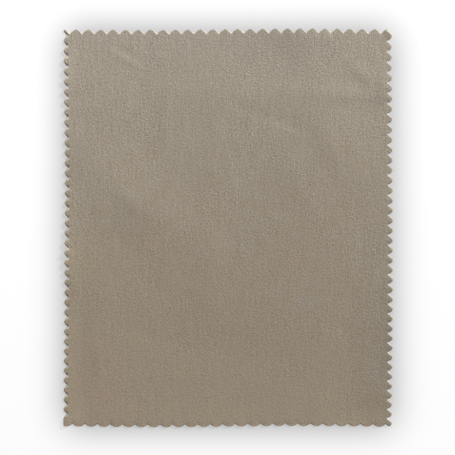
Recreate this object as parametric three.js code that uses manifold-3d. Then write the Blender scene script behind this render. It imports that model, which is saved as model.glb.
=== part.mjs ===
// Lens cleaning cloth: one sheet of suede-finish microfibre, pinked on all four edges, lying face up.
// Millimetres, +Z up. The origin is under the middle of the cloth, on the surface that it lies on,
// with +X across the cloth and +Y along it.
import * as THREE from 'three';
import { mergeVertices } from 'three/addons/utils/BufferGeometryUtils.js';
import Module from 'manifold-3d';

const wasm = await Module();
wasm.setup();

// Sheet, measured from tooth tip to tooth tip
const CLOTH_WIDTH = 150;
const CLOTH_LENGTH = 182;
const CLOTH_THICKNESS = 0.7;

// How far a cut wall slopes in between its foot and its top, where the blade has pressed the pile down
const CUT_SLOPE = 0.45;

// The four edges follow each other clockwise, seen from above. Each starts at the corner where the one
// before it ends, and its first valley is measured from there.

// Top edge: upright teeth with round tips
const TOP_FIRST_VALLEY = 2.9;
const TOP_PITCH = 5.68;
const TOP_DEPTH = 1.95;
const TOP_TIP_WIDTH = 2.3;
const TOP_TIP_ROUNDING = 0.48;

// Right edge: blunt teeth that droop, each a little narrower than the one above it
const RIGHT_FIRST_VALLEY = 0.61;
const RIGHT_PITCH = 4.79;
const RIGHT_PITCH_GROWTH = -0.0132;
const RIGHT_DEPTH = 2.05;
const RIGHT_TIP_WIDTH = 2.3;
const RIGHT_TIP_ROUNDING = 0.5;
const RIGHT_DROOP = 0.63;

// Bottom edge: broad shallow scallops
const BOTTOM_FIRST_VALLEY = 3.1;
const BOTTOM_PITCH = 5.72;
const BOTTOM_DEPTH = 1.2;
const BOTTOM_TIP_WIDTH = 3.05;
const BOTTOM_TIP_ROUNDING = 0.3;

// Left edge: small teeth that droop a little, each slightly wider than the one below it. The blade missed
// the valley nearest to the lower corner, so the tooth there is wider than the rest.
const LEFT_FIRST_VALLEY = 6.29;
const LEFT_PITCH = 4.4;
const LEFT_PITCH_GROWTH = 0.008;
const LEFT_DEPTH = 1.55;
const LEFT_TIP_WIDTH = 1.7;
const LEFT_TIP_ROUNDING = 0.4;
const LEFT_DROOP = 0.44;

// Where a tooth doesn't droop, its tip stands over the middle of its foot
const UPRIGHT = 0.5;

// Steps that draw the arch of a tip
const TIP_STEPS = 2;

// Each edge wanders slowly, by less than half a millimetre in or out, in a wave of this length. A peak is
// measured from the middle of its edge.
const TOP_WANDER = 0.24;
const TOP_WANDER_LENGTH = 150;
const TOP_WANDER_PEAK = 33;
const RIGHT_WANDER = 0.22;
const RIGHT_WANDER_LENGTH = 200;
const RIGHT_WANDER_PEAK = 1;
const BOTTOM_WANDER = 0.33;
const BOTTOM_WANDER_LENGTH = 130;
const BOTTOM_WANDER_PEAK = 34;
const LEFT_WANDER = 0.32;
const LEFT_WANDER_LENGTH = 200;
const LEFT_WANDER_PEAK = -90;

// Relief: the size of the cells that follow the ripples, and the height that the cloth's own weight
// presses out of them, so that the rest of it lies flat
const RIPPLE_CELL = 17;
const PRESSED_FLAT = 0.15;

// Margin of the sheet before it is cut. A blade reaches past it, and past both faces of the sheet.
const TRIM = 3;
const BLADE_REACH = 2 * TRIM;
const BLADE_OVERCUT = CLOTH_THICKNESS;

// The shallow ripples that the cloth lies in: the middle of each crest, the way that it runs, its reach
// along and across, and its height
const ripples = [
  // long ripple across the left half
  { x: -41, y: 14, heading: -40, along: 26, across: 10, height: 1.1 },
  // swell on the right
  { x: 52, y: 41, heading: -55, along: 22, across: 11, height: 1 },
  // lifted stretch of the top edge
  { x: 33, y: 92, heading: 0, along: 18, across: 11, height: 1.2 },
  // curled lower part of the right edge
  { x: 78, y: -50, heading: 90, along: 30, across: 11, height: 1.3 },
  // lifted middle of the left edge
  { x: -78, y: -14, heading: 60, along: 14, across: 10, height: 0.9 },
];

const edges = [
  {
    halfRun: CLOTH_WIDTH / 2,
    reach: CLOTH_LENGTH / 2,
    firstValley: TOP_FIRST_VALLEY,
    pitch: TOP_PITCH,
    growth: 0,
    depth: TOP_DEPTH,
    tipWidth: TOP_TIP_WIDTH,
    tipRounding: TOP_TIP_ROUNDING,
    droop: UPRIGHT,
    wander: TOP_WANDER,
    wanderLength: TOP_WANDER_LENGTH,
    wanderPeak: TOP_WANDER_PEAK,
  },
  {
    halfRun: CLOTH_LENGTH / 2,
    reach: CLOTH_WIDTH / 2,
    firstValley: RIGHT_FIRST_VALLEY,
    pitch: RIGHT_PITCH,
    growth: RIGHT_PITCH_GROWTH,
    depth: RIGHT_DEPTH,
    tipWidth: RIGHT_TIP_WIDTH,
    tipRounding: RIGHT_TIP_ROUNDING,
    droop: RIGHT_DROOP,
    wander: RIGHT_WANDER,
    wanderLength: RIGHT_WANDER_LENGTH,
    wanderPeak: RIGHT_WANDER_PEAK,
  },
  {
    halfRun: CLOTH_WIDTH / 2,
    reach: CLOTH_LENGTH / 2,
    firstValley: BOTTOM_FIRST_VALLEY,
    pitch: BOTTOM_PITCH,
    growth: 0,
    depth: BOTTOM_DEPTH,
    tipWidth: BOTTOM_TIP_WIDTH,
    tipRounding: BOTTOM_TIP_ROUNDING,
    droop: UPRIGHT,
    wander: BOTTOM_WANDER,
    wanderLength: BOTTOM_WANDER_LENGTH,
    wanderPeak: BOTTOM_WANDER_PEAK,
  },
  {
    halfRun: CLOTH_LENGTH / 2,
    reach: CLOTH_WIDTH / 2,
    firstValley: LEFT_FIRST_VALLEY,
    pitch: LEFT_PITCH,
    growth: LEFT_PITCH_GROWTH,
    depth: LEFT_DEPTH,
    tipWidth: LEFT_TIP_WIDTH,
    tipRounding: LEFT_TIP_ROUNDING,
    droop: LEFT_DROOP,
    wander: LEFT_WANDER,
    wanderLength: LEFT_WANDER_LENGTH,
    wanderPeak: LEFT_WANDER_PEAK,
  },
];

// A closed mesh becomes a solid once its shared corners are merged
function solidFrom(geometry) {
  const bare = geometry.clone();
  bare.deleteAttribute('normal');
  bare.deleteAttribute('uv');
  const welded = mergeVertices(bare);
  const vertProperties = new Float32Array(welded.attributes.position.array);
  const triVerts = new Uint32Array(welded.index.array);
  return new wasm.Manifold(new wasm.Mesh({ numProp: 3, vertProperties, triVerts }));
}

function geometryFrom(solid) {
  const mesh = solid.getMesh();
  const geometry = new THREE.BufferGeometry();
  geometry.setAttribute('position', new THREE.BufferAttribute(mesh.vertProperties, 3));
  geometry.setIndex(new THREE.BufferAttribute(mesh.triVerts, 1));
  return geometry;
}

// The line that the blade cuts, drawn as a top edge: x runs along it and y is how far out it lies, both
// from the middle of the cloth. Each tooth starts at its valley, and its tip is a shallow arch. Where the
// corner leaves only a piece of flank of the tooth before the first valley, that whisker has frayed away.
// Where it leaves more than a tooth, that tooth reaches to the corner.
function pinkedLine(edge) {
  const end = edge.halfRun + BLADE_REACH;
  const points = [];

  function valley(n) {
    return edge.firstValley - edge.halfRun + n * edge.pitch + (edge.growth * n * (n - 1)) / 2;
  }

  function addPoint(along, out) {
    const turn = (2 * Math.PI * (along - edge.wanderPeak)) / edge.wanderLength;
    points.push(new THREE.Vector2(along, edge.reach + edge.wander * Math.cos(turn) + out));
  }

  const lastFlank = (edge.pitch - edge.tipWidth) * (1 - edge.droop);
  let tooth = 0;
  if (edge.firstValley < lastFlank) {
    addPoint(-end, -edge.depth);
  } else if (edge.firstValley > edge.pitch) {
    addPoint(-end, 0);
    addPoint(valley(0) - lastFlank, -edge.tipRounding);
  } else {
    while (valley(tooth) > -end) {
      tooth -= 1;
    }
  }
  while (valley(tooth) < end) {
    const flanks = valley(tooth + 1) - valley(tooth) - edge.tipWidth;
    const tipStart = valley(tooth) + flanks * edge.droop;
    addPoint(valley(tooth), -edge.depth);
    for (let step = 0; step <= TIP_STEPS; step += 1) {
      const across = step / TIP_STEPS;
      addPoint(tipStart + across * edge.tipWidth, -edge.tipRounding * (2 * across - 1) ** 2);
    }
    tooth += 1;
  }
  return points;
}

// The blade takes everything outside the line. Its face leans in over the cloth: at the foot of the
// sheet it stands on the line, and at the top of the sheet it is CUT_SLOPE further in.
function pinkingBlade(edge) {
  const line = pinkedLine(edge);
  const back = edge.reach + BLADE_REACH;
  line.push(new THREE.Vector2(line.at(-1).x, back));
  line.push(new THREE.Vector2(line[0].x, back));
  const blade = new THREE.ExtrudeGeometry(new THREE.Shape(line), {
    depth: CLOTH_THICKNESS + 2 * BLADE_OVERCUT,
    bevelEnabled: false,
  });
  blade.translate(0, 0, -BLADE_OVERCUT);
  blade.applyMatrix4(new THREE.Matrix4().makeShear(0, 0, 0, 0, 0, -CUT_SLOPE / CLOTH_THICKNESS));
  return blade;
}

// The sheet before it is cut, in cells that can follow the ripples
function blankSheet() {
  const width = CLOTH_WIDTH + 2 * TRIM;
  const length = CLOTH_LENGTH + 2 * TRIM;
  const across = Math.round(width / RIPPLE_CELL);
  const along = Math.round(length / RIPPLE_CELL);
  const sheet = new THREE.BoxGeometry(width, length, CLOTH_THICKNESS, across, along, 1);
  return sheet.translate(0, 0, CLOTH_THICKNESS / 2);
}

// Height of the underside over the surface that the cloth lies on
function lift(x, y) {
  let height = -PRESSED_FLAT;
  for (const ripple of ripples) {
    const heading = THREE.MathUtils.degToRad(ripple.heading);
    const dx = x - ripple.x;
    const dy = y - ripple.y;
    const along = (dx * Math.cos(heading) + dy * Math.sin(heading)) / ripple.along;
    const across = (dy * Math.cos(heading) - dx * Math.sin(heading)) / ripple.across;
    height += ripple.height * Math.exp(-(along * along + across * across) / 2);
  }
  return Math.max(height, 0);
}

// The cloth is cut while it is flat. The slivers that two blades free between them at a corner fall
// away, and the sheet is what stays in one piece.
function cutSheet() {
  let sheet = solidFrom(blankSheet());
  edges.forEach((edge, side) => {
    const blade = pinkingBlade(edge).rotateZ((-side * Math.PI) / 2);
    sheet = sheet.subtract(solidFrom(blade));
  });
  const pieces = sheet.decompose();
  return pieces.reduce((largest, piece) => (piece.volume() > largest.volume() ? piece : largest));
}

function layInRipples(geometry) {
  const position = geometry.attributes.position;
  for (let i = 0; i < position.count; i += 1) {
    position.setZ(i, position.getZ(i) + lift(position.getX(i), position.getY(i)));
  }
  return geometry;
}

const microfibre = new THREE.MeshStandardMaterial({ color: 0x958b7b, roughness: 0.9, metalness: 0 });

const cleaningCloth = new THREE.Mesh(layInRipples(geometryFrom(cutSheet())), microfibre);
cleaningCloth.name = 'cleaning_cloth';

const object = new THREE.Group();
object.add(cleaningCloth);

export default object;
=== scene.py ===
"""A pinked microfibre lens cleaning cloth lying on a plain white floor, seen from straight above.

Lengths are in millimetres until they reach Blender, which works in metres. What a material measures along
the cloth is in metres too.
"""

import math

import bpy
import numpy as np
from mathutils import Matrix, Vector, noise
from mathutils.geometry import delaunay_2d_cdt


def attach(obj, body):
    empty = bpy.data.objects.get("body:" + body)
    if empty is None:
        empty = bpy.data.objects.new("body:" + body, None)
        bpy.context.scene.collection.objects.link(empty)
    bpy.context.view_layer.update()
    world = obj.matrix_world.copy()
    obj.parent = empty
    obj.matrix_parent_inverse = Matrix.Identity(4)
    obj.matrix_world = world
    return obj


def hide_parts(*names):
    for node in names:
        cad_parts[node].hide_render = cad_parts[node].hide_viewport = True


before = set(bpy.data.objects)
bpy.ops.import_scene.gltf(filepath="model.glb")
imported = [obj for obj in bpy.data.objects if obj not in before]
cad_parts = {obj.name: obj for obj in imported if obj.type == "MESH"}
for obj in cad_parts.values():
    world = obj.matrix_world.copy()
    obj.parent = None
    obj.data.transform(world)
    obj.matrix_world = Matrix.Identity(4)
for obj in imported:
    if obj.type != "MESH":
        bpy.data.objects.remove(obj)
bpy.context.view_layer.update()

MM = 0.001
TINY = 1e-12

WIDTH = 150.0
LENGTH = 182.0
THICKNESS = 0.7

# The four pinked edges, clockwise from the top one. Each is drawn as a top edge that reaches half its
# length to either side of its middle, and is turned into place.
# Its tips stand out to the reach. The first valley is measured from the corner where the edge starts, the
# next one is a pitch further on, and the pitch changes by the growth with each tooth. The valleys have a
# depth, the tip stands at its share of the tooth, and rise and fall are the powers of the two flanks. The
# whole edge wanders in one slow wave, of a length and with a peak that is measured from its middle.
# Each flank's wall has a width and a tone in the valley: above zero pale fibres, laid on as painted light
# where the flank faces the light and along the shaded bottom edge, and below zero painted shade in the
# notch. The focus says how closely the tone keeps to the valley. The tips have a tone of their own and a
# tan, which is partly painted light on shaded rims, and the smear says how many times its wall's width the
# tone of a valley spreads over.
EDGES = [
    dict(half=WIDTH / 2, reach=LENGTH / 2, first=2.9, pitch=5.68, growth=0.0, depth=1.95,
         tip=0.48, rise=1.5, fall=1.5, wander=0.24, wave=150.0, peak=33.0, focus=0.7,
         rise_wall=0.3, rise_tone=0.4, fall_wall=0.5, fall_tone=1.0, tip_tone=0.0, tan=0.0, smear=1.0),
    dict(half=LENGTH / 2, reach=WIDTH / 2, first=0.61, pitch=4.79, growth=-0.0132, depth=2.05,
         tip=0.5, rise=1.2, fall=3.0, wander=0.22, wave=200.0, peak=1.0, focus=0.7,
         rise_wall=0.42, rise_tone=0.95, fall_wall=0.2, fall_tone=0.1, tip_tone=0.1, tan=0.4, smear=1.0),
    dict(half=WIDTH / 2, reach=LENGTH / 2 - 0.4, first=3.1, pitch=5.72, growth=0.0, depth=1.2,
         tip=0.48, rise=2.2, fall=2.2, wander=0.28, wave=130.0, peak=34.0, focus=0.7,
         rise_wall=0.25, rise_tone=0.8, fall_wall=0.25, fall_tone=0.7, tip_tone=1.0, tan=1.0, smear=1.0),
    dict(half=LENGTH / 2, reach=WIDTH / 2 - 0.1, first=6.29, pitch=4.4, growth=0.008, depth=1.55,
         tip=0.45, rise=1.5, fall=1.4, wander=0.32, wave=200.0, peak=-90.0, focus=1.2,
         rise_wall=0.25, rise_tone=-1.0, fall_wall=0.3, fall_tone=1.2, tip_tone=0.0, tan=0.5, smear=5.0),
]

# Width of the wall at the tips, how closely the tan keeps to them, and the steps that draw a tooth
TIP_WALL = 0.12
TAN_FOCUS = 1.5
TOOTH_STEPS = 14

# How much of a lift the cloth's own weight presses flat
PRESSED_FLAT = 0.15

# Ripples that the whole cloth lies in: x, y, heading in degrees, reach along, reach across, height
RIPPLES = [
    (-41, 14, -40, 26, 10, 1.1),
    (52, 41, -55, 22, 11, 1.0),
    (33, 92, 0, 18, 11, 1.2),
    (78, -50, 90, 30, 11, 1.3),
    (-78, -14, 60, 14, 10, 0.9),
]

# Fine creases in the face, in the same terms: a ridge is above zero and a trough below it
CREASES = [
    # upper left: a short bright streak, where a ridge falls away to the trough above it
    (-47.5, 77.4, -28, 4.5, 1.4, 0.26),
    (-46.5, 79.7, -28, 4.5, 1.4, -0.22),
    # the left edge curls up, most near its top and below its middle, and so does its lower corner
    (-78, 68, 90, 11, 4, 1.7),
    (-78, 40, 90, 14, 4, 0.6),
    (-78, 9, 90, 12, 4, 0.8),
    (-78, -14, 90, 7, 4, 1.6),
    (-72, 18, 60, 14, 4, -0.1),
    (-76, -91, 45, 6, 4, 0.7),
    # the top edge is lifted right of its middle, behind a hollow
    (31, 93, 0, 10, 5, 0.6),
    (24, 80, -70, 10, 6, -0.35),
    # the upper right corner is lifted, and a ridge runs down to the edge below it
    (76, 93, -45, 6, 4, 1.0),
    (60.5, 70.5, -34, 5, 2, 0.3),
    (75, 65, -15, 8, 4.5, 0.75),
    # a fold across to the right edge
    (58, 60.5, -2, 14, 2.6, 0.44),
    (79, 53, 90, 8, 4, 0.3),
    # swellings left of the upper right ripple, and the hollow right of it
    (33, 27, -62, 14, 8, 0.6),
    (45, 38, -60, 8, 3.5, 0.35),
    (59, 32, -85, 14, 6, -0.3),
    (66, 38, 90, 12, 4, -0.25),
    # a ridge across the upper half, and under it a trough with a sharp lower bank
    (5, 61, 0, 26, 6, 0.4),
    (27, 47.8, -20, 10, 2.6, -0.17),
    (27.5, 44, -20, 8, 1, 0.08),
    (8, 54.4, -20, 7, 1.5, -0.1),
    # upright folds left of the middle of the upper half
    (-38, 52, 88, 18, 6, -0.4),
    (-28.5, 49, 90, 14, 1.6, 0.1),
    (-5, 44, 86, 12, 4, 0.25),
    # left of the middle, a hollow and low ridges about the ripple
    (-47, 27, -40, 12, 6, -0.35),
    (-43.5, 11.5, -38, 7, 2.6, 0.2),
    (-64, 11, -12, 12, 6, 0.3),
    (-26, -18, -40, 9, 6, 0.3),
    # the right edge lifts along its lower half, and the corner below it dips
    (79, 4, 90, 14, 4, 0.7),
    (78, -47, 90, 22, 4, 1.2),
    (79, -36, 90, 16, 3.5, 0.6),
    (66, -83, 4, 9, 3, -0.2),
    (54, -60, 80, 22, 7, -0.4),
    # long low ones in the lower half
    (-67, -57, 90, 24, 4, -0.4),
    (-8, -14, 88, 26, 5, 0.3),
    (0, -56, -14, 28, 10, -0.35),
    (-10, -93, 0, 26, 7, 0.5),
    (0, -93, 0, 60, 2.5, 0.3),
    (-34, -50, -17, 9, 1.8, -0.06),
]

# Unevenness of the brushed cloth: size of the waves, layer of the noise, height. The crepe has a mean
# share of its height, and more or less of it in patches.
SLOW_WAVES = (23, 1.7, 0.07)
SMALL_WAVES = (8, 4.2, 0.035)
CREPE = (2.6, 7.9, 0.005)
CREPE_PATCHES = (30, 9.3, 0.8)
CREPE_MEAN = 0.6

# How far the cut is frayed back, and the waves that vary it: size, layer of the noise, strength
FRAY = 0.05
FINE_FRAY = (0.9, 3.1, 1.0)
COARSE_FRAY = (3.3, 6.2, 0.6)

# How the wall of the cut rounds over into the face, and how far in the face lies freely
ROUND_OVER = 0.1
CROWN_SHARE = 0.1
CROWN_REACH = 1.6
EASE_REACH = 2.0
LEAST_EASE = 0.15

# Spacing of the mesh's points along the cut, on the face and on the underside
CUT_STEP = 0.32
FACE_STEP = 0.74
FACE_SHAKE = 0.16
UNDER_STEP = 2.4

# Depths of the rings of points inside the cut, how near two of their points may come, and how far in the
# other points start
CUT_RINGS = [0.1, 0.22, 0.36, 0.52, 0.74, 1.05, 1.5]
RING_GAP = 0.11
FACE_MARGIN = 1.95
UNDER_RING = 0.5
UNDER_RING_GAP = 0.3
UNDER_MARGIN = 1.2

# Bands along the edges: where the points of the face are tested, and where they can feel the cut
TEST_BAND = 5
CUT_BAND = 6

# How far in from the cut its tone holds and then fades out, as shares of the smear, and its tan
TONE_HOLDS = 0.5
TONE_FADES = 0.55
TAN_HOLDS = 0.5
TAN_FADES = 0.5

# Colours of the nap, in the 0 to 255 of a picture. The cool taupe is painted sheen along the top.
TAUPE = (149.4, 140.2, 126)
WARM_TAUPE = (149.4, 137, 119.5)
PAINTED_SHEEN_TAUPE = (149.4, 141.2, 128.2)
PINK_TAUPE = (152.2, 135.3, 120)
BROWN = (128, 98, 74)
SHEEN = (232, 224, 210)

# Colours of the cut: the tan of its tips, partly painted light on shaded rims, two for the pale cores of the
# fibres, also painted light where a flank faces the light, and two of painted shade for the notches
TAN = (196, 158, 124)
CORES_AND_PAINTED_LIGHT = (226, 216, 198), (246, 240, 226)
PAINTED_SHADE_COLOURS = (62, 50, 40), (98, 76, 56)

# Clouds in the warmth of the nap: scale per metre, detail, strength
WARMTH_CLOUDS = [(40, 2, 2.0), (160, 1, 2.2)]

# Places where the nap is browner: x, y, reach, strength
BROWNED = [(73.4, 87.6, 2.4, 0.3), (-73.8, 78.5, 1.2, 0.15), (-73.6, -12.0, 1.6, 0.15)]

# Places where the nap is pinkish: x, y, reach, strength
PINKISH = [(-66, -64, 22, 0.5), (-56, -81, 16, 0.6), (46, 2, 34, 0.25), (-30, -12, 30, 0.2)]

# Tiny dark specks on the face: x, y, darkness, and how far their dark core and their rim reach
SPECKS = [(-55.3, -79.4, 0.3), (-53.0, -79.1, 0.15), (-20.3, 83.6, 0.2), (36.0, -27.8, 0.18)]
SPECK_CORE = 0.2
SPECK_RIM = 0.5

# Grain of the face's tone: scale per metre, stretch, strength
GRAIN = [
    (2300, (1, 1), 0.8),
    (1100, (1, 1), 0.18),
    (2200, (1, 0.1), 0.17),
    (1800, (1, 0.03), 0.13),
    (600, (1, 0.12), 0.08),
    (1200, (0.12, 1), 0.05),
    (2200, (0.1, 1), 0.04),
]

# The pebbles of the nap: scale per metre, and the strengths of the painted glints on their crowns and of
# their lean
NAP_SCALE = 1600
PAINTED_NAP_GLINTS = 0.6
NAP_LEAN = 0.2

# Brightness of the middle, and the painted light and shade that is added to it at the sides, at the ends,
# at the upper right and lower left corners, and at the top. The other two corners and the bottom have the
# opposite.
BRIGHTNESS = 0.955
PAINTED_LIGHT_AT_SIDES = 0.055
PAINTED_LIGHT_AT_ENDS = 0.09
PAINTED_LIGHT_AT_CORNERS = 0.022
PAINTED_LIGHT_AT_TOP = -0.03


def pinked_line(edge, run_out=6.0):
    """Points of a pinked edge from beyond its first corner to beyond its last: along, out, and the width,
    tone, tan and smear of its wall. The tone is strongest in the valleys and the tan at the tips."""
    end = edge["half"] + run_out
    line = []

    def valley(n):
        return edge["first"] - edge["half"] + n * edge["pitch"] + edge["growth"] * n * (n - 1) / 2

    def point(along, away, side):
        wander = edge["wander"] * math.cos(2 * math.pi * (along - edge["peak"]) / edge["wave"])
        out = -edge["depth"] * away ** edge[side]
        wall = TIP_WALL + (edge[side + "_wall"] - TIP_WALL) * away
        tone = edge["tip_tone"] + (edge[side + "_tone"] - edge["tip_tone"]) * away ** edge["focus"]
        tan = edge["tan"] * (1 - away) ** TAN_FOCUS
        smear = wall * (1 + (edge["smear"] - 1) * away)
        return along, edge["reach"] + wander + out, wall, tone, tan, smear

    def half_tooth(n, side):
        width = valley(n + 1) - valley(n)
        tip = valley(n) + edge["tip"] * width
        start, stop = (valley(n), tip) if side == "rise" else (tip, valley(n + 1))
        for step in range(TOOTH_STEPS // 2):
            t = step / (TOOTH_STEPS // 2)
            line.append(point(start + t * (stop - start), 1 - t if side == "rise" else t, side))

    # The corner has a frayed flank, a wide tooth or a piece of a tooth like the rest
    tooth = 0
    if edge["first"] < edge["pitch"] * (1 - edge["tip"]) / 2:
        line.append(point(-end, 1, "rise"))
    elif edge["first"] > edge["pitch"]:
        line.append(point(-end, 0, "fall"))
        half_tooth(-1, "fall")
    else:
        while valley(tooth) > -end:
            tooth -= 1
    while valley(tooth) < end:
        half_tooth(tooth, "rise")
        half_tooth(tooth, "fall")
        tooth += 1
    return np.array(line)


def turned(line, side):
    """An edge drawn as the top one, turned clockwise by its number of quarter turns."""
    angle = -side * math.pi / 2
    c, s = math.cos(angle), math.sin(angle)
    place = np.stack([line[:, 0] * c - line[:, 1] * s, line[:, 0] * s + line[:, 1] * c], 1)
    return np.concatenate([place, line[:, 2:]], 1)


def first_crossing(a, b):
    """Where line a, followed from its middle to its end, first meets line b: the step of each line before
    it, and the point itself."""
    for i in range(len(a) // 2, len(a) - 1):
        p, r = a[i, :2], a[i + 1, :2] - a[i, :2]
        q, s = b[:-1, :2], b[1:, :2] - b[:-1, :2]
        cross = r[0] * s[:, 1] - r[1] * s[:, 0]
        cross = np.where(np.abs(cross) < TINY, TINY, cross)
        t = ((q[:, 0] - p[0]) * s[:, 1] - (q[:, 1] - p[1]) * s[:, 0]) / cross
        u = ((q[:, 0] - p[0]) * r[1] - (q[:, 1] - p[1]) * r[0]) / cross
        hit = np.where((t >= 0) & (t <= 1) & (u >= 0) & (u <= 1))[0]
        if len(hit):
            j = hit[np.argmin(t[hit])]
            return i, j, np.append(p + t[j] * r, b[j, 2:])
    raise ValueError("two edges don't meet")


def wave(x, y, size, layer, strength):
    """Smooth noise over the sheet, with waves of a size. Each layer is another noise."""
    return strength * noise.noise(Vector((x / size, y / size, layer)))


def outward(loop):
    tangent = np.roll(loop, -1, axis=0) - np.roll(loop, 1, axis=0)
    tangent /= np.linalg.norm(tangent, axis=1)[:, None]
    return np.stack([-tangent[:, 1], tangent[:, 0]], 1)


def outline():
    """The foot of the cut all round the cloth, clockwise, at even steps and a little frayed, and the
    width, tone, tan and smear of the wall at each of its points."""
    short_step = 0.3
    lines = [turned(pinked_line(edge), side) for side, edge in enumerate(EDGES)]
    corners = [first_crossing(lines[k], lines[(k + 1) % 4]) for k in range(4)]
    drawn = []
    for k in range(4):
        start = corners[k - 1][1] + 1
        end = corners[k][0] + 1
        drawn.append(corners[k - 1][2][None])
        drawn.append(lines[k][start:end])
    drawn = np.concatenate(drawn)
    points = []
    for p, q in zip(drawn, np.roll(drawn, -1, axis=0)):
        # a step much shorter than the rest, such as at a corner, is left out
        steps = math.ceil(np.linalg.norm(q[:2] - p[:2]) / CUT_STEP - short_step)
        for step in range(steps):
            points.append(p + (q - p) * step / steps)
    points = np.array(points)
    loop, walls = points[:, :2], points[:, 2:]
    normal = outward(loop)
    for i, (x, y) in enumerate(loop.copy()):
        loop[i] -= normal[i] * FRAY * (1 + (wave(x, y, *FINE_FRAY) + wave(x, y, *COARSE_FRAY)))
    walls = (np.roll(walls, 1, axis=0) + 2 * walls + np.roll(walls, -1, axis=0)) / 4
    # two points that the fray has brought together count as one
    apart = np.linalg.norm(loop - np.roll(loop, 1, axis=0), axis=1) > CUT_STEP / 3
    return loop[apart], walls[apart]


def nearest(points, loop, chunk=400):
    """Distance of each point from the outline, and the index of the stretch of outline nearest to it."""
    a = loop
    d = np.roll(loop, -1, axis=0) - a
    length2 = (d ** 2).sum(1)
    away = np.empty(len(points))
    index = np.empty(len(points), int)
    for i in range(0, len(points), chunk):
        p = points[i:i + chunk, None, :] - a[None]
        t = np.clip((p * d[None]).sum(2) / length2[None], 0, 1)
        gap2 = ((p - t[..., None] * d[None]) ** 2).sum(2)
        index[i:i + chunk] = gap2.argmin(1)
        away[i:i + chunk] = np.sqrt(gap2.min(1))
    return away, index


def inside(points, loop, chunk=2000):
    """Which points lie inside the outline: a ray from each to the right crosses it an odd number of times."""
    a, b = loop, np.roll(loop, -1, axis=0)
    out = np.zeros(len(points), bool)
    for i in range(0, len(points), chunk):
        p = points[i:i + chunk]
        over = (a[None, :, 1] > p[:, None, 1]) != (b[None, :, 1] > p[:, None, 1])
        rise = np.where(b[:, 1] == a[:, 1], TINY, b[:, 1] - a[:, 1])
        x = a[None, :, 0] + (p[:, None, 1] - a[None, :, 1]) * ((b - a)[:, 0] / rise)[None]
        out[i:i + chunk] = ((over & (p[:, None, 0] < x)).sum(1) % 2) == 1
    return out


def ring_points(loop, depth, clear=0.8):
    """Points at a depth inside the cut, left out where two flanks come too close."""
    points = loop - outward(loop) * depth
    points = points[inside(points, loop)]
    return points[nearest(points, loop)[0] > depth * clear]


def thinned(points, gap):
    """Points without those closer than gap to one kept before."""
    cells = {}
    kept = []
    for index, (x, y) in enumerate(points):
        cx, cy = math.floor(x / gap), math.floor(y / gap)
        near = (cells.get((cx + i, cy + j), ()) for i in (-1, 0, 1) for j in (-1, 0, 1))
        if all((points[k][0] - x) ** 2 + (points[k][1] - y) ** 2 >= gap * gap for cell in near for k in cell):
            cells.setdefault((cx, cy), []).append(index)
            kept.append(index)
    return points[kept]


def honeycomb(step, seed, shake, margin=1):
    """A triangular grid over the sheet, with each point moved a little at random."""
    rng = np.random.default_rng(seed)
    rows = np.arange(-LENGTH / 2 - margin, LENGTH / 2 + margin, step * math.sqrt(3) / 2)
    points = []
    for k, y in enumerate(rows):
        x = np.arange(-WIDTH / 2 - margin, WIDTH / 2 + margin, step) + (step / 2 if k % 2 else 0)
        points.append(np.stack([x, np.full_like(x, y)], 1))
    points = np.concatenate(points)
    return points + rng.uniform(-shake, shake, points.shape) * step


def near_edge(points, band):
    """Which points lie in a band along the edges, or beyond them."""
    return (np.abs(points[:, 0]) > WIDTH / 2 - band) | (np.abs(points[:, 1]) > LENGTH / 2 - band)


def face_points(loop):
    """Points of the face inside the outline: rings that follow the cut, and then a honeycomb."""
    rings = thinned(np.concatenate([ring_points(loop, depth) for depth in CUT_RINGS]), RING_GAP)
    face = honeycomb(FACE_STEP, seed=3, shake=FACE_SHAKE)
    near = near_edge(face, TEST_BAND)
    keep = np.ones(len(face), bool)
    keep[near] = inside(face[near], loop)
    near_points = np.where(near & keep)[0]
    keep[near_points] = nearest(face[near_points], loop)[0] > FACE_MARGIN
    return np.concatenate([rings, face[keep]])


def under_points(loop):
    """Points of the underside inside the outline: one ring, and then a wider honeycomb."""
    ring = thinned(ring_points(loop, UNDER_RING), UNDER_RING_GAP)
    under = honeycomb(UNDER_STEP, seed=5, shake=0.0)
    under = under[inside(under, loop)]
    under = under[nearest(under, loop)[0] > UNDER_MARGIN]
    return np.concatenate([ring, under])


def bumps(points, folds):
    """The height of all folds at each point. Each is a bell, longer along its heading than across."""
    height = np.zeros(len(points))
    for x, y, heading, reach_along, reach_across, top in folds:
        c, s = math.cos(math.radians(heading)), math.sin(math.radians(heading))
        dx, dy = points[:, 0] - x, points[:, 1] - y
        along = (dx * c + dy * s) / reach_along
        across = (dy * c - dx * s) / reach_across
        height += top * np.exp(-(along ** 2 + across ** 2) / 2)
    return height


def standing(height):
    """What still stands off the floor when the cloth's own weight has pressed the low parts flat."""
    return np.maximum(height - PRESSED_FLAT, 0)


def lift_under(points):
    """The height of the underside, which the ripples lift, and the ridges of the creases too."""
    return standing(bumps(points, RIPPLES)) + standing(bumps(points, CREASES))


def crinkle(points):
    """The slight unevenness of a brushed cloth: slow waves, and a finer crepe in patches."""
    out = np.empty(len(points))
    for i, (x, y) in enumerate(points):
        patch = CREPE_MEAN + wave(x, y, *CREPE_PATCHES)
        out[i] = wave(x, y, *SLOW_WAVES) + wave(x, y, *SMALL_WAVES) + wave(x, y, *CREPE) * patch
    return out


def face_height(face, away, wall):
    """The height of the face. The blade has pressed the pile down, so the cut leans in from its foot and
    rounds over into the face, and the finer unevenness fades out towards it."""
    rise = 1 - (1 - np.clip(away / (wall + ROUND_OVER), 0, 1)) ** 2
    crown = 1 - np.exp(-away / CROWN_REACH)
    top = THICKNESS * ((1 - CROWN_SHARE) * rise + CROWN_SHARE * crown)
    ease = np.clip(away / EASE_REACH, LEAST_EASE, 1)
    folds = bumps(face, CREASES)
    return lift_under(face) + top + (folds - standing(folds) + crinkle(face)) * ease


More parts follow.
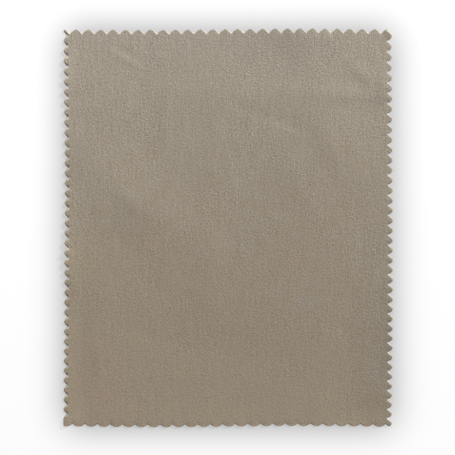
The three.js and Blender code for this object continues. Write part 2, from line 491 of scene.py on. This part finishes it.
def cut_near(face, loop, walls):
    """How far each point of the face is from the cut, and the width, tone, tan and smear of its wall there.
    Beyond the band along the edges, the cut is far away and has no tone or tan."""
    far_away, plain_wall = 9.0, [0.4, 0.0, 0.0, 0.4]
    away = np.full(len(face), far_away)
    face_walls = np.tile(plain_wall, (len(face), 1))
    band = near_edge(face, CUT_BAND)
    away[band], index = nearest(face[band], loop)
    face_walls[band] = walls[index]
    return away, face_walls


def triangles(loop, free):
    """Triangles that fill the outline, by the numbers of its points and, after them, of the free points
    inside it."""
    whole_hull, merge_distance = 0, 1e-7
    points = [Vector((float(x), float(y))) for x, y in np.concatenate([loop, free])]
    count = len(loop)
    edges = [(i, (i + 1) % count) for i in range(count)]
    _, _, faces, origin, _, _ = delaunay_2d_cdt(points, edges, [], whole_hull, merge_distance, True)
    names = np.array([o[0] for o in origin])
    faces = names[np.array(faces)]
    # a triangle outside the outline spans a notch, so all its corners are on the outline
    doubtful = np.where((faces < count).all(1))[0]
    middles = loop[faces[doubtful]].mean(1)
    keep = np.ones(len(faces), bool)
    keep[doubtful] = inside(middles, loop)
    return [tuple(int(v) for v in face) for face in faces[keep]]


def fade(away, start, length):
    """One up to a start, and then down to zero over a length."""
    return 1 - np.clip((away - start) / length, 0, 1)


def store(mesh, name, values):
    mesh.attributes.new(name, "FLOAT", "POINT").data.foreach_set("value", values.astype(np.float32))


def along_foot(mesh, count):
    """Which edges of the mesh run along the foot of the cut, whose points are its first ones."""
    ends = np.empty(len(mesh.edges) * 2, np.int32)
    mesh.edges.foreach_get("vertices", ends)
    ends = ends.reshape(-1, 2)
    gap = np.abs(ends[:, 0] - ends[:, 1])
    return (ends < count).all(1) & ((gap == 1) | (gap == count - 1))


def cloth():
    """The sheet as one closed mesh: a face and an underside that meet at the foot of the cut. The tone and
    the tan of the cut are stored with its points for the material."""
    loop, walls = outline()
    face, under = face_points(loop), under_points(loop)
    away, face_walls = cut_near(face, loop, walls)
    wall, tone, tan, smear = face_walls.T
    n, m = len(loop), len(face)
    xy = np.concatenate([loop, face, under])
    z = np.concatenate([lift_under(loop), face_height(face, away, wall), lift_under(under)])
    verts = np.concatenate([xy, z[:, None]], 1) * MM

    up = triangles(loop, face)
    down = [tuple(v if v < n else v + m for v in f) for f in triangles(loop, under)]

    def area(f):
        a, b, c = (xy[v] for v in f)
        return (b[0] - a[0]) * (c[1] - a[1]) - (b[1] - a[1]) * (c[0] - a[0])

    faces = [f if area(f) > 0 else f[::-1] for f in up]
    faces += [f if area(f) < 0 else f[::-1] for f in down]

    mesh = bpy.data.meshes.new("cleaning_cloth_sheet")
    mesh.from_pydata(verts.tolist(), [], faces)
    mesh.polygons.foreach_set("use_smooth", np.ones(len(faces), bool))
    plain = np.zeros(len(under))
    tone = fade(away, TONE_HOLDS * smear, TONE_FADES * smear) * tone
    tan = fade(away, TAN_HOLDS, TAN_FADES) * tan
    # The cut's tone: pale cores and painted light above zero, painted shade in the notches below zero; and
    # the tan of the tips, partly painted light
    store(mesh, "cut", np.concatenate([walls[:, 1], tone, plain]))
    store(mesh, "tan", np.concatenate([walls[:, 2], tan, plain]))
    foot = along_foot(mesh, n)
    mesh.attributes.new("sharp_edge", "BOOLEAN", "EDGE").data.foreach_set("value", foot)
    mesh.update()
    piece = bpy.data.objects.new("cloth_sheet", mesh)
    bpy.context.scene.collection.objects.link(piece)
    return piece


class Nodes:
    """Short names for the few nodes that the materials use."""

    def __init__(self, tree):
        self.tree = tree
        tree.nodes.clear()

    def add(self, kind, **inputs):
        node = self.tree.nodes.new(kind)
        for key, value in inputs.items():
            self.feed(node.inputs[key], value)
        return node

    def feed(self, socket, value):
        if isinstance(value, bpy.types.NodeSocket):
            self.tree.links.new(value, socket)
        else:
            socket.default_value = value

    def attribute(self, name):
        node = self.add("ShaderNodeAttribute")
        node.attribute_name = name
        return node.outputs["Fac"]

    def math(self, operation, a, b=0.0, c=0.0):
        node = self.tree.nodes.new("ShaderNodeMath")
        node.operation = operation
        for socket, value in zip(node.inputs, (a, b, c)):
            self.feed(socket, value)
        return node.outputs[0]

    def noise(self, coords, scale, detail=2.0, rough=0.5, stretch=(1, 1), shift=(0, 0)):
        """Noise over the sheet, the same through its thickness."""
        mapping = self.add("ShaderNodeMapping", Vector=coords, Scale=(*stretch, 1), Location=(*shift, 0))
        node = self.tree.nodes.new("ShaderNodeTexNoise")
        node.noise_dimensions = "2D"
        inputs = {"Vector": mapping.outputs[0], "Scale": scale, "Detail": detail, "Roughness": rough}
        for key, value in inputs.items():
            self.feed(node.inputs[key], value)
        return node.outputs["Fac"]

    def centred_noise(self, coords, scale, detail, stretch=(1, 1)):
        """The same noise with its middle at zero."""
        return self.math("SUBTRACT", self.noise(coords, scale, detail, stretch=stretch), 0.5)

    def ramp(self, value, low, high, start=0.0, stop=1.0):
        node = self.tree.nodes.new("ShaderNodeMapRange")
        node.clamp = True
        for socket, v in zip(node.inputs, (value, low, high, start, stop)):
            self.feed(socket, v)
        return node.outputs[0]

    def mix(self, factor, a, b, blend="MIX"):
        node = self.tree.nodes.new("ShaderNodeMix")
        node.data_type = "RGBA"
        node.blend_type = blend
        self.feed(node.inputs["Factor"], factor)
        colours = [s for s in node.inputs if s.type == "RGBA"]
        self.feed(colours[0], a)
        self.feed(colours[1], b)
        return [s for s in node.outputs if s.type == "RGBA"][0]

    def mix_shader(self, factor, a, b):
        node = self.add("ShaderNodeMixShader", Fac=factor)
        self.feed(node.inputs[1], a.outputs[0])
        self.feed(node.inputs[2], b.outputs[0])
        return node

    def grey(self, value):
        return self.add("ShaderNodeCombineColor", Red=value, Green=value, Blue=value).outputs[0]

    def directly_seen(self, path):
        """One for the rays that show a thing as the camera sees it, and zero for those that only light."""
        looks = self.math("MAXIMUM", path.outputs["Is Camera Ray"], path.outputs["Is Glossy Ray"])
        return self.math("MAXIMUM", looks, path.outputs["Is Transmission Ray"])


def linear(r, g, b):
    """A colour given in the 0 to 255 of a picture."""
    out = []
    for value in (r, g, b):
        v = value / 255
        out.append(v / 12.92 if v <= 0.04045 else ((v + 0.055) / 1.055) ** 2.4)
    return (*out, 1.0)


def squared_distance(n, x, y, place_x, place_y):
    dx = n.math("SUBTRACT", x, place_x * MM)
    dy = n.math("SUBTRACT", y, place_y * MM)
    return n.math("ADD", n.math("MULTIPLY", dx, dx), n.math("MULTIPLY", dy, dy))


def round_patch(n, x, y, place_x, place_y, reach, strength):
    """The strength of a round patch, which falls from its middle to nothing at its reach."""
    away2 = squared_distance(n, x, y, place_x, place_y)
    return n.ramp(away2, low=0, high=(reach * MM) ** 2, start=strength, stop=0)


def nap_colour(n, coords, x, y):
    """A taupe greyed by painted sheen in the upper part turns warmer in the lower part, except along the
    right edge, and is pinkish or brown in places."""
    # Painted sheen: the warmth falls towards the top, where the taupe is greyer
    sheen_fading_length, middle_warmth = 0.05, 0.4
    warmth = n.math("MULTIPLY_ADD", y, -1 / sheen_fading_length, middle_warmth)
    warmth = n.math("SUBTRACT", warmth, n.ramp(x, low=0.055, high=0.072, start=0, stop=1.6))
    for scale, detail, strength in WARMTH_CLOUDS:
        warmth = n.math("MULTIPLY_ADD", n.centred_noise(coords, scale, detail), strength, warmth)
    colour = n.mix(n.ramp(warmth, low=-0.4, high=1.2), linear(*TAUPE), linear(*WARM_TAUPE))
    # More painted sheen greys the top further
    colour = n.mix(n.ramp(y, low=0.04, high=0.085), colour, linear(*PAINTED_SHEEN_TAUPE))
    pinkish = n.noise(coords, scale=60, detail=2, shift=(0.4, 0.1))
    pinkish = n.ramp(pinkish, low=0.3, high=0.65, start=0.4, stop=1)
    for place in PINKISH:
        near = round_patch(n, x, y, *place)
        colour = n.mix(n.math("MULTIPLY", pinkish, near), colour, linear(*PINK_TAUPE))
    for place in BROWNED:
        colour = n.mix(round_patch(n, x, y, *place), colour, linear(*BROWN))
    return colour


def nap_roughness(n, coords, x, y):
    """How strong the tone and the bump of the nap are: in patches, most at the top and to the right."""
    half_length = LENGTH / 2 * MM
    patch = n.noise(coords, scale=34, detail=2, shift=(0, 0.7))
    patch = n.ramp(patch, low=0.35, high=0.65, start=0.85, stop=1.15)
    upwards = n.ramp(y, low=-half_length, high=half_length, start=0.64, stop=1.13)
    rightwards = n.ramp(x, low=0.03, high=WIDTH / 2 * MM, start=0, stop=0.17)
    return n.math("MULTIPLY", patch, n.math("ADD", upwards, rightwards))


def nap_tone(n, coords, x, y, rough):
    """The brightness of the nap. Its short piles lean apart, lighter and darker at random, with painted
    glints on their crowns, and the knit under them shows through as faint wales and courses."""
    half_width, half_length = WIDTH / 2 * MM, LENGTH / 2 * MM
    nap = n.centred_noise(coords, NAP_SCALE, detail=0)
    # Painted glints on the crowns of the piles
    tone = n.math("MULTIPLY", n.math("MULTIPLY", nap, nap), PAINTED_NAP_GLINTS)
    tone = n.math("MULTIPLY_ADD", nap, NAP_LEAN, tone)
    for scale, stretch, strength in GRAIN:
        grain = n.centred_noise(coords, scale, detail=0, stretch=stretch)
        tone = n.math("MULTIPLY_ADD", grain, strength, tone)
    tone = n.math("MULTIPLY", tone, rough)

    # Painted light and shade: the middle is a little darker, and of the corners the upper left one most
    tone = n.math("MULTIPLY_ADD", n.math("MULTIPLY", x, x), PAINTED_LIGHT_AT_SIDES / half_width ** 2, tone)
    tone = n.math("MULTIPLY_ADD", n.math("MULTIPLY", y, y), PAINTED_LIGHT_AT_ENDS / half_length ** 2, tone)
    tone = n.math("MULTIPLY_ADD", n.math("MULTIPLY", x, y), PAINTED_LIGHT_AT_CORNERS / (half_width * half_length), tone)
    tone = n.math("MULTIPLY_ADD", y, PAINTED_LIGHT_AT_TOP / half_length, tone)

    # Tiny dark specks
    core, rim = (SPECK_CORE * MM) ** 2, (SPECK_RIM * MM) ** 2
    for place_x, place_y, dark in SPECKS:
        away2 = squared_distance(n, x, y, place_x, place_y)
        tone = n.math("SUBTRACT", tone, n.ramp(away2, low=core, high=rim, start=dark, stop=0))
    return n.math("ADD", tone, BRIGHTNESS)


def with_cut(n, coords, colour):
    """The nap's colour with the cut's over it. The tips are tan, partly as painted light on shaded rims. The
    cut bares the pale cores of the fibres, laid on as painted light where a flank faces the light and on the
    shaded bottom edge, and lays painted shade in the notches where its tone is below zero."""
    fibres = n.noise(coords, scale=1500, detail=2, rough=0.6, shift=(0.5, 0.5))
    fibres = n.ramp(fibres, low=0.35, high=0.65)
    patchy = n.ramp(n.noise(coords, scale=260, detail=1), low=0.35, high=0.65, start=0.6, stop=1.15)
    cut = n.math("MULTIPLY", n.attribute("cut"), patchy)
    # The tan of the tips, partly painted light that lifts shaded rims
    tan = n.ramp(n.attribute("tan"), low=0.1, high=1, start=0, stop=0.75)
    colour = n.mix(tan, colour, linear(*TAN))
    # Pale cores, laid on as painted light where a flank faces the light
    core = n.mix(fibres, linear(*CORES_AND_PAINTED_LIGHT[0]), linear(*CORES_AND_PAINTED_LIGHT[1]))
    colour = n.mix(n.ramp(cut, low=0, high=1, start=0, stop=0.9), colour, core)
    # Painted shade in the notches, where the cut's tone is below zero
    gap = n.mix(fibres, linear(*PAINTED_SHADE_COLOURS[0]), linear(*PAINTED_SHADE_COLOURS[1]))
    return n.mix(n.ramp(cut, low=0, high=-1, start=0, stop=0.95), colour, gap)


def nap_bump(n, coords, rough):
    coarse_height = 0.7
    coarse = n.math("MULTIPLY", n.noise(coords, scale=700, detail=0, shift=(0, 0.4)), coarse_height)
    height = n.math("ADD", n.noise(coords, scale=1100, detail=0, shift=(0.3, 0)), coarse)
    bump = n.add("ShaderNodeBump", Height=n.math("MULTIPLY", height, rough))
    bump.inputs["Strength"].default_value = 1.0
    bump.inputs["Distance"].default_value = 0.00009
    return bump


def microfibre():
    material = bpy.data.materials.new("microfibre_nap")
    material.use_nodes = True
    n = Nodes(material.node_tree)
    coords = n.add("ShaderNodeTexCoord").outputs["Object"]
    split = n.add("ShaderNodeSeparateXYZ", Vector=coords)
    x, y = split.outputs["X"], split.outputs["Y"]
    rough = nap_roughness(n, coords, x, y)
    bright = n.grey(nap_tone(n, coords, x, y, rough))
    nap = n.mix(1.0, nap_colour(n, coords, x, y), bright, "MULTIPLY")

    shader = n.add("ShaderNodeBsdfPrincipled")
    n.feed(shader.inputs["Base Color"], with_cut(n, coords, nap))
    n.feed(shader.inputs["Normal"], nap_bump(n, coords, rough).outputs[0])
    shader.inputs["Roughness"].default_value = 0.92
    shader.inputs["Specular IOR Level"].default_value = 0.2
    shader.inputs["Sheen Weight"].default_value = 0.12
    shader.inputs["Sheen Roughness"].default_value = 0.5
    shader.inputs["Sheen Tint"].default_value = linear(*SHEEN)
    out = n.add("ShaderNodeOutputMaterial")
    n.feed(out.inputs["Surface"], shader.outputs[0])
    return material


def painted_drop_shadow(n):
    """The strength of the painted drop shadow: a soft patch the size of the cloth, from one in its middle
    to zero around it.
    """
    shadow_blur, shadow_right, shadow_up = 0.0078, 0.0003, -0.0001
    slope, bend = 0.798, 0.0357
    split = n.add("ShaderNodeSeparateXYZ", Vector=n.add("ShaderNodeTexCoord").outputs["Object"])

    def blurred_step(value):
        # close to the integral of a bell of the painted shadow's blur
        u = n.math("DIVIDE", value, shadow_blur)
        cube = n.math("POWER", n.math("ABSOLUTE", u), 3.0)
        cube = n.math("MULTIPLY", cube, n.math("SIGN", u))
        return n.math("TANH", n.math("MULTIPLY_ADD", cube, bend, n.math("MULTIPLY", u, slope)))

    def cover(value, half):
        low = blurred_step(n.math("ADD", value, half))
        high = blurred_step(n.math("SUBTRACT", value, half))
        return n.math("MULTIPLY", n.math("SUBTRACT", low, high), 0.5)

    x = n.math("SUBTRACT", split.outputs["X"], shadow_right)
    y = n.math("SUBTRACT", split.outputs["Y"], shadow_up)
    return n.math("MULTIPLY", cover(x, WIDTH / 2 * MM), cover(y, LENGTH / 2 * MM))


def floor_material():
    """White to the camera, with the cloth's shadow on it and a soft painted drop shadow close round the
    cloth.
    It is clear from below, and lets the lamp there through to the underside."""
    painted_shadow_depth = 0.714
    lit_grey, unseen_grey = (0.22, 0.22, 0.22, 1), (0.6, 0.6, 0.6, 1)
    material = bpy.data.materials.new("floor_white")
    material.use_nodes = True
    n = Nodes(material.node_tree)
    # The painted drop shadow darkens the floor's colour round the cloth
    colour = n.grey(n.math("MULTIPLY_ADD", painted_drop_shadow(n), -painted_shadow_depth, 1.0))
    glow = n.add("ShaderNodeEmission", Color=colour, Strength=0.8)
    lit = n.add("ShaderNodeBsdfDiffuse")
    n.feed(lit.inputs["Color"], n.mix(1.0, colour, lit_grey, "MULTIPLY"))
    seen = n.add("ShaderNodeAddShader")
    n.feed(seen.inputs[0], glow.outputs[0])
    n.feed(seen.inputs[1], lit.outputs[0])
    plain = n.add("ShaderNodeBsdfDiffuse")
    plain.inputs["Color"].default_value = unseen_grey
    path = n.add("ShaderNodeLightPath")
    from_above = n.mix_shader(n.directly_seen(path), plain, seen)
    below = n.add("ShaderNodeNewGeometry").outputs["Backfacing"]
    passes = n.math("MAXIMUM", below, path.outputs["Is Shadow Ray"])
    final = n.mix_shader(passes, from_above, n.add("ShaderNodeBsdfTransparent"))
    out = n.add("ShaderNodeOutputMaterial")
    n.feed(out.inputs["Surface"], final.outputs[0])
    return material


def make_floor():
    half, drop = 1.5, 0.00002
    mesh = bpy.data.meshes.new("floor")
    corners = [(-half, -half), (half, -half), (half, half), (-half, half)]
    mesh.from_pydata([(x, y, -drop) for x, y in corners], [], [(0, 1, 2, 3)])
    floor = bpy.data.objects.new("floor", mesh)
    bpy.context.scene.collection.objects.link(floor)
    floor.data.materials.append(floor_material())


def make_world():
    """White where it is seen, and a dim warm light on everything else."""
    world = bpy.data.worlds.new("studio")
    bpy.context.scene.world = world
    world.use_nodes = True
    n = Nodes(world.node_tree)
    dim = n.add("ShaderNodeBackground", Strength=0.1)
    dim.inputs["Color"].default_value = (1, 0.98, 0.95, 1)
    white = n.add("ShaderNodeBackground", Strength=1.0)
    white.inputs["Color"].default_value = (1, 1, 1, 1)
    mixed = n.mix_shader(n.directly_seen(n.add("ShaderNodeLightPath")), dim, white)
    out = n.add("ShaderNodeOutputWorld")
    n.feed(out.inputs["Surface"], mixed.outputs[0])


def area_light(name, azimuth, elevation, distance, size, share):
    """A square lamp that gives a level surface at the origin its share of the full light. The azimuth is
    clockwise from +Y."""
    az, el = math.radians(azimuth), math.radians(elevation)
    place = Vector((math.sin(az) * math.cos(el), math.cos(az) * math.cos(el), math.sin(el))) * distance
    data = bpy.data.lights.new(name, "AREA")
    data.size = size
    data.energy = share * math.pi ** 2 * distance ** 2 / abs(math.sin(el))
    lamp = bpy.data.objects.new(name, data)
    lamp.location = place
    lamp.visible_camera = False
    lamp.rotation_euler = place.to_track_quat("Z", "Y").to_euler()
    bpy.context.scene.collection.objects.link(lamp)


def make_camera():
    """A camera above the cloth that looks straight down, as a camera does until it is turned."""
    view_width, height = 0.20776, 0.65
    right, up = -0.00025, 0.00034
    data = bpy.data.cameras.new("camera")
    data.sensor_fit = "HORIZONTAL"
    data.sensor_width = 36
    data.lens = data.sensor_width * (height - THICKNESS * MM / 2) / view_width
    data.clip_start = 0.01
    data.clip_end = 20
    camera = bpy.data.objects.new("camera", data)
    camera.location = (right, up, height)
    bpy.context.scene.collection.objects.link(camera)
    bpy.context.scene.camera = camera


make_camera()
piece = cloth()
piece.data.materials.append(microfibre())
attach(piece, "root")
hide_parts("cleaning_cloth")
make_floor()
make_world()
area_light("key", azimuth=52, elevation=28, distance=2.0, size=0.4, share=0.52)
area_light("top", azimuth=-26, elevation=58, distance=0.36, size=0.2, share=0.4)
area_light("below", azimuth=0, elevation=-90, distance=1.0, size=0.5, share=0.7)
bpy.context.scene.view_settings.view_transform = "Standard"
